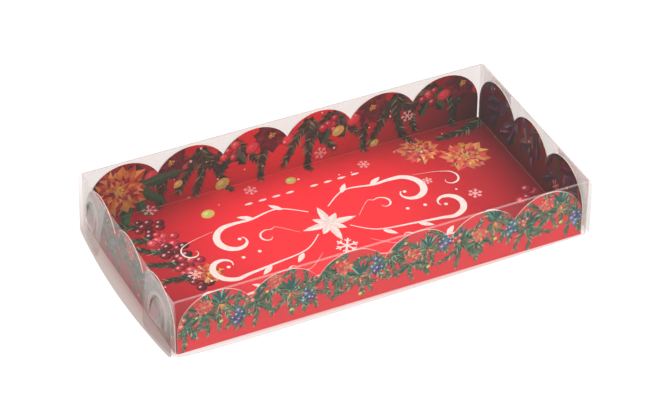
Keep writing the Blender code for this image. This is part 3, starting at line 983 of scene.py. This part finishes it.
def make_lid(looks, crease):
    half_length = LID_HALF_LENGTH - FOLD_RADIUS
    half_width = LID_HALF_WIDTH - FOLD_RADIUS
    wall_half = half_length - FOLD_RADIUS

    def top_face(x, y, depth):
        return Vector((x, y, LID_TOP - depth))

    clear_sheet("lid_top_panel", "lid", "lid_top",
                rectangle((LID_MIDDLE - half_length, -half_width),
                          (LID_MIDDLE + half_length, half_width)), top_face, looks["clear_sheet"])
    for side, name in ((-1, "front"), (1, "back")):
        def wall_face(x, z, depth):
            return Vector((x, side * (LID_HALF_WIDTH + long_bow(x, z) - depth), z))

        clear_sheet(f"lid_{name}_panel", "lid", f"lid_{name}_wall",
                    rectangle((LID_MIDDLE - wall_half, SKIRT_FOOT),
                              (LID_MIDDLE + wall_half, SKIRT_TOP)), wall_face,
                    looks["clear_sheet"])
    for side in (-1, 1):
        make_end(side, looks)

    top_strips, corner_strips = [], []
    upright_middle = UP * ((SKIRT_FOOT + SKIRT_TOP) / 2)
    upright_half = UP * ((SKIRT_TOP - SKIRT_FOOT) / 2)
    for side in (-1, 1):
        long_edge = Vector((LID_MIDDLE, side * LID_HALF_WIDTH, LID_TOP))
        top_strips.append((long_edge, X_AXIS * half_length, Y_AXIS * side, UP))
        short_edge = Vector((LID_MIDDLE + side * LID_HALF_LENGTH, 0, LID_TOP))
        top_strips.append((short_edge, Y_AXIS * half_width, X_AXIS * side, UP))
        for end in (-1, 1):
            foot = Vector((LID_MIDDLE + side * half_length, end * LID_HALF_WIDTH, 0))
            corner_strips.append((foot + upright_middle, upright_half, X_AXIS * side,
                                  Y_AXIS * end))
    make_folds("lid_top_folds", top_strips, crease)
    make_folds("lid_corner_folds", corner_strips, crease)


# Materials

# The red ground inside the tray: its middle, and its colours by distance from there
GLOW_MIDDLE = TRAY_MIDDLE - 0.004
GLOW_DEPTH_SHARE = 2.2
# Painted shade: the walls' ground a step darker than the floor's, and painted light a little lighter
# towards their tops
WALL_START = 1.2 * BOARD
WALL_SHADE = 0.13
WALL_BRIGHTENING = 1 / 14
GROUND_STOPS = ((0.33, rgb(247, 42, 55)), (0.53, rgb(230, 36, 49)), (0.7, rgb(199, 27, 40)),
                (0.88, rgb(170, 22, 36)), (1.05, rgb(140, 20, 34)), (1.25, rgb(92, 18, 28)))

# How much clear plastic mirrors seen square on, and how much more at the lowest angle
MIRROR_LEAST = 0.02
MIRROR_GAIN = 0.98
FILM_WHITE = rgb(252, 250, 248)

# Clear plastics: tint, tint of the mirror, least and most haze, and where the lower edge
# differs its tint there and the share of mirror and haze that is left there. The ends' darker
# foot is painted shade for the shaded table under the lid, and the flaps' lighter foot is
# painted light.
END_LOOK = ((0.95, 0.94, 0.935), (1.0, 0.985, 0.97), 0.01, 0.036)
CLEAR_LOOKS = {
    "clear_sheet": ((0.938, 0.924, 0.918), (1.0, 0.98, 0.96), 0.0, 0.006),
    "clear_left_end": (*END_LOOK, (0.74, 0.675, 0.655), 0.4),
    "clear_right_end": (*END_LOOK, (0.84, 0.83, 0.825), 0.4),
    "clear_flap": ((0.94, 0.935, 0.935), (1.0, 0.985, 0.975), 0.12, 0.18, (0.97, 0.965, 0.96)),
    "clear_tongue": ((0.95, 0.94, 0.94), (0.9, 0.885, 0.875), 0.08, 0.14),
}
CUT_EDGE_LOOK = ((0.9, 0.86, 0.86), (0.9, 0.9, 0.9), 0.14, 0.28)
CREASE_LOOK = ((0.95, 0.93, 0.93), (0.6, 0.6, 0.6), 0.05, 0.14)
# A hazier, whiter ring round each flap window
HAZY_RING_LOOK = ((0.95, 0.94, 0.94), (0.8, 0.8, 0.8), 0.46, 0.62)


class Value:
    """What a shader works out at each point of a surface, for plain arithmetic."""

    def __init__(self, shader, socket):
        self.shader = shader
        self.socket = socket

    def math(self, operation, *others):
        values = dict(enumerate((self, *others)))
        return self.shader.value("Math", values, operation=operation)

    def __add__(self, other):
        return self.math("ADD", other)

    def __sub__(self, other):
        return self.math("SUBTRACT", other)

    def __mul__(self, other):
        return self.math("MULTIPLY", other)

    def __truediv__(self, other):
        return self.math("DIVIDE", other)

    def __pow__(self, other):
        return self.math("POWER", other)

    def __abs__(self):
        return self.math("ABSOLUTE")

    def __lt__(self, other):
        return self.math("LESS_THAN", other)

    def held(self):
        return self.math("MAXIMUM", 0.0).math("MINIMUM", 1.0)

    def spread(self, low, high):
        """From low at 0 to high at 1."""
        return self.shader.value("MapRange", {"Value": self, "To Min": low, "To Max": high})


class Shader:
    """A new material's nodes, with short ways to add and join them."""

    def __init__(self, name):
        self.material = bpy.data.materials.new(name)
        self.material.use_nodes = True
        self.tree = self.material.node_tree
        self.tree.nodes.clear()
        self.output = self.tree.nodes.new("ShaderNodeOutputMaterial")
        self.place = self.value("TexCoord", output="Object")
        parts = self.node("SeparateXYZ", {"Vector": self.place}).outputs
        self.x, self.y, self.z = (Value(self, part) for part in parts)

    def join(self, value, socket):
        """Sets a socket, or links it to what is worked out. Colours are opaque."""
        if isinstance(value, Value):
            self.tree.links.new(value.socket, socket)
        else:
            socket.default_value = (*value, 1.0) if socket.type == "RGBA" else value

    def node(self, kind, values=(), **settings):
        made = self.tree.nodes.new("ShaderNode" + kind)
        for key, value in settings.items():
            setattr(made, key, value)
        for socket, value in dict(values).items():
            self.join(value, made.inputs[socket])
        return made

    def value(self, kind, values=(), output=0, **settings):
        return Value(self, self.node(kind, values, **settings).outputs[output])

    def noise(self, scale, detail, place=None):
        return self.value("TexNoise", {"Scale": scale, "Detail": detail,
                                       "Vector": place or self.place})

    def bump(self, height, strength, distance):
        return self.value("Bump", {"Height": height, "Strength": strength, "Distance": distance})

    def mix(self, factor, first, second):
        made = self.node("Mix", data_type="RGBA")
        enabled = [socket for socket in made.inputs if socket.enabled]
        for socket, value in zip(enabled, (factor, first, second)):
            self.join(value, socket)
        return Value(self, next(socket for socket in made.outputs if socket.enabled))

    def finished(self, body):
        self.tree.links.new(body.socket, self.output.inputs["Surface"])
        return self.material


def glowing_ground(shader, uneven):
    """Red that is brightest on the middle of the floor and darkens towards the edges."""
    across = (shader.x - GLOW_MIDDLE) / INNER_X
    deep = shader.y / (INNER_Y * GLOW_DEPTH_SHARE)
    # Painted shade on the walls, and painted light towards their tops
    wall = ((shader.z - WALL_START) / BOARD).held()
    high = wall * WALL_SHADE - shader.z * (WALL_BRIGHTENING / WALL_TOP)
    distance = (across * across + deep * deep) ** 0.5 + high + uneven.spread(-0.05, 0.05)
    furthest = GROUND_STOPS[-1][0]
    ramp = shader.node("ValToRGB", {"Fac": distance / furthest})
    while len(ramp.color_ramp.elements) < len(GROUND_STOPS):
        ramp.color_ramp.elements.new(1.0)
    for element, (position, colour) in zip(ramp.color_ramp.elements, GROUND_STOPS):
        element.position = position / furthest
        element.color = (*colour, 1.0)
    return Value(shader, ramp.outputs["Color"])


def print_material(name, ground_colours=None):
    """Glossy laminated print: a red ground, and the ink colours with brush-like unevenness.

    Without colours for its ground, that ground is the inside's, dark towards the edges.
    """
    shader = Shader(name)
    fine = shader.noise(900.0, 4.0)
    broad = shader.noise(60.0, 2.0)
    if ground_colours is None:
        ground = glowing_ground(shader, broad)
    else:
        ground = shader.mix(broad.spread(0.2, 0.8), *ground_colours)
    ink = shader.node("Attribute", attribute_name="ink").outputs
    stretched = shader.value("Mapping", {"Vector": shader.place, "Scale": (1.0, 1.0, 1.6),
                                         "Rotation": (0.4, 0.2, 0.7)})
    brush = shader.noise(1100.0, 3.0, stretched)
    hue = shader.noise(420.0, 2.0, stretched)
    painted = shader.value("HueSaturation", {
        "Color": Value(shader, ink["Color"]), "Hue": hue.spread(0.47, 0.53),
        "Saturation": brush.spread(0.85, 1.15), "Value": brush.spread(0.62, 1.34)})
    colour = shader.mix(Value(shader, ink["Alpha"]), ground, painted)
    colour = shader.value("HueSaturation", {"Color": colour, "Value": fine.spread(0.95, 1.04)})
    bump = shader.bump(broad, 0.12, 0.0006)
    return shader.finished(shader.value("BsdfPrincipled", {
        "Base Color": colour, "Roughness": fine.spread(0.3, 0.42), "Specular IOR Level": 0.16,
        "Coat Weight": 0.1, "Coat Roughness": 0.12, "Normal": bump, "Coat Normal": bump}))


def board_material(name, colour):
    """Bare board: pale fibres in the cut edge or on the underside."""
    shader = Shader(name)
    fibre = shader.noise(1500.0, 5.0)
    tone = shader.mix(fibre, scaled(colour, 0.86), colour)
    return shader.finished(shader.value("BsdfPrincipled", {
        "Base Color": tone, "Roughness": 0.7, "Normal": shader.bump(fibre, 0.2, 0.0001)}))


def clear_material(name, tint, gloss, haze_low, haze_high, foot_tint=None, foot_share=1.0):
    """Thin clear plastic: light goes straight through, and more is reflected at a low angle.

    foot_tint is the tint at the sheet's lower edge, where that differs, and foot_share is how
    much of its mirror and haze is left there. A darker foot is painted shade for the shaded
    table under the lid, a lighter one painted light.
    """
    shader = Shader(name)
    dust = shader.noise(700.0, 4.0)
    bump = shader.bump(shader.noise(26.0, 1.5), 0.25, 0.002)
    facing = shader.value("LayerWeight", {"Blend": 0.5, "Normal": bump}, "Facing")
    mirror = facing ** 5.0 * MIRROR_GAIN + MIRROR_LEAST
    haze = dust.spread(haze_low, haze_high)
    # Painted shade at the lower edge: its own tint there, and less mirror and haze
    if foot_tint:
        rise = (shader.z / LID_TOP).held()
        left = rise.spread(foot_share, 1.0)
        mirror, haze = mirror * left, haze * left
        tint = shader.mix(rise, foot_tint, tint)
    through = shader.value("BsdfTransparent", {"Color": tint})
    glossy = shader.value("BsdfAnisotropic", {"Color": gloss, "Normal": bump,
                                              "Roughness": dust.spread(0.03, 0.09)})
    film = shader.value("BsdfDiffuse", {"Color": FILM_WHITE})
    hazy = shader.value("MixShader", {0: haze, 1: through, 2: film})
    return shader.finished(shader.value("MixShader", {0: mirror, 1: hazy, 2: glossy}))


def table_material():
    """Evenly glowing white table with painted shade and painted red bounce light near the tray."""
    shader = Shader("pale_table")
    beyond_end = abs(shader.x - TRAY_MIDDLE) - TRAY_LENGTH / 2
    beyond_side = abs(shader.y) - TRAY_WIDTH / 2
    away = beyond_end.math("MAXIMUM", beyond_side).math("MAXIMUM", 0.0)
    contact = (away / -CONTACT_SHADE_REACH).math("EXPONENT")
    end_reach = ((shader.x < TRAY_MIDDLE) * (LEFT_SHADE_REACH - RIGHT_SHADE_REACH)
                 + RIGHT_SHADE_REACH)
    covers = []
    for beyond, reach, along, half in (
            (beyond_end, end_reach, shader.y, TRAY_WIDTH / 2),
            (beyond_side, SIDE_SHADE_REACH, shader.x, TRAY_LENGTH / 2)):
        moved = abs(along / half) ** 4.0 * CORNER_SHADE_LOSS + beyond
        covers.append((moved / reach * -1.0 + 1.0).held())
    # Painted shade under the lid's ends and a painted contact shadow; covered also masks the painted
    # red bounce light
    covered = covers[0] * covers[1]
    shade = covered * (beyond_side < 0.0) * COVER_SHADE + contact * CONTACT_SHADE
    glow = shade * -1.0 + TABLE_GLOW
    grain = shader.value("TexNoise", {"Scale": 4.0, "Detail": 2.0})
    return shader.finished(shader.value("BsdfPrincipled", {
        "Base Color": shader.mix(grain, *TABLE_TONES), "Roughness": 0.9,
        "Emission Color": shader.mix(covered ** 2.0, WHITE_CAST, PAINTED_RED_BOUNCE),
        "Emission Strength": glow}))


# Stage


def make_stage():
    half = TABLE_SIZE / 2
    corners = [(x, y, 0) for x, y in rectangle((-half, -half), (half, half))]
    mesh = new_mesh("table", corners, [(0, 1, 2, 3)])
    mesh.materials.append(table_material())
    table = new_object("table", mesh)
    table.location.z = -MERGE

    for name, place, power in LIGHTS:
        light = bpy.data.lights.new(name, "AREA")
        light.shape = "SQUARE"
        light.size = LIGHT_SIZE
        light.energy = power
        lamp = new_object(name, light)
        lamp.location = place
        lamp.visible_glossy = False
        lamp.rotation_euler = (-Vector(place)).to_track_quat("-Z", "Y").to_euler()

    world = bpy.data.worlds.new("studio")
    world.use_nodes = True
    background = world.node_tree.nodes["Background"].inputs
    background["Color"].default_value = (1.0, 1.0, 1.0, 1.0)
    background["Strength"].default_value = WORLD_STRENGTH
    bpy.context.scene.world = world
    bpy.context.scene.view_settings.view_transform = "Standard"
    bpy.context.scene.cycles.transparent_max_bounces = SEE_THROUGH_STEPS


def make_camera():
    turn, rise = CAMERA_AZIMUTH, CAMERA_ELEVATION
    back = Vector((math.sin(turn) * math.cos(rise), -math.cos(turn) * math.cos(rise),
                   math.sin(rise)))
    right = Vector((math.cos(turn), math.sin(turn), 0))
    rolled = Matrix.Rotation(CAMERA_ROLL, 3, back)
    right, up = rolled @ right, rolled @ back.cross(right)
    data = bpy.data.cameras.new("camera")
    data.lens = LENS_MM
    data.sensor_width = SENSOR_MM
    data.clip_end = TABLE_SIZE
    camera = new_object("camera", data)
    place = back * CAMERA_DISTANCE + right * CAMERA_SIDE + up * CAMERA_RISE
    place.x += LID_MIDDLE
    camera.matrix_world = placing(place, right, up, back)
    bpy.context.scene.camera = camera


def main():
    make_camera()
    make_stage()
    long_outside = print_material("outer_print", palette((224, 42, 54), (236, 51, 60)))
    # The end walls' outer ground is a darker copy of the long walls' red: painted shade
    shaded_end_outside = print_material("shaded_outer_end_print", palette((176, 34, 46), (200, 40, 50)))
    inside_look = print_material("inner_print")
    edge = board_material("board_edge", rgb(244, 222, 208))
    underside = board_material("board_underside", rgb(236, 232, 226))
    worn = board_material("worn_crease", rgb(226, 120, 116))
    make_tray(inside_print(), long_outside, shaded_end_outside, inside_look, edge, underside, worn)
    cut = clear_material("clear_cut_edge", *CUT_EDGE_LOOK)
    hazy_ring = clear_material("clear_hazy_ring", *HAZY_RING_LOOK)
    looks = {name: (clear_material(name, *look), cut, hazy_ring)
             for name, look in CLEAR_LOOKS.items()}
    make_lid(looks, clear_material("clear_crease", *CREASE_LOOK))


main()
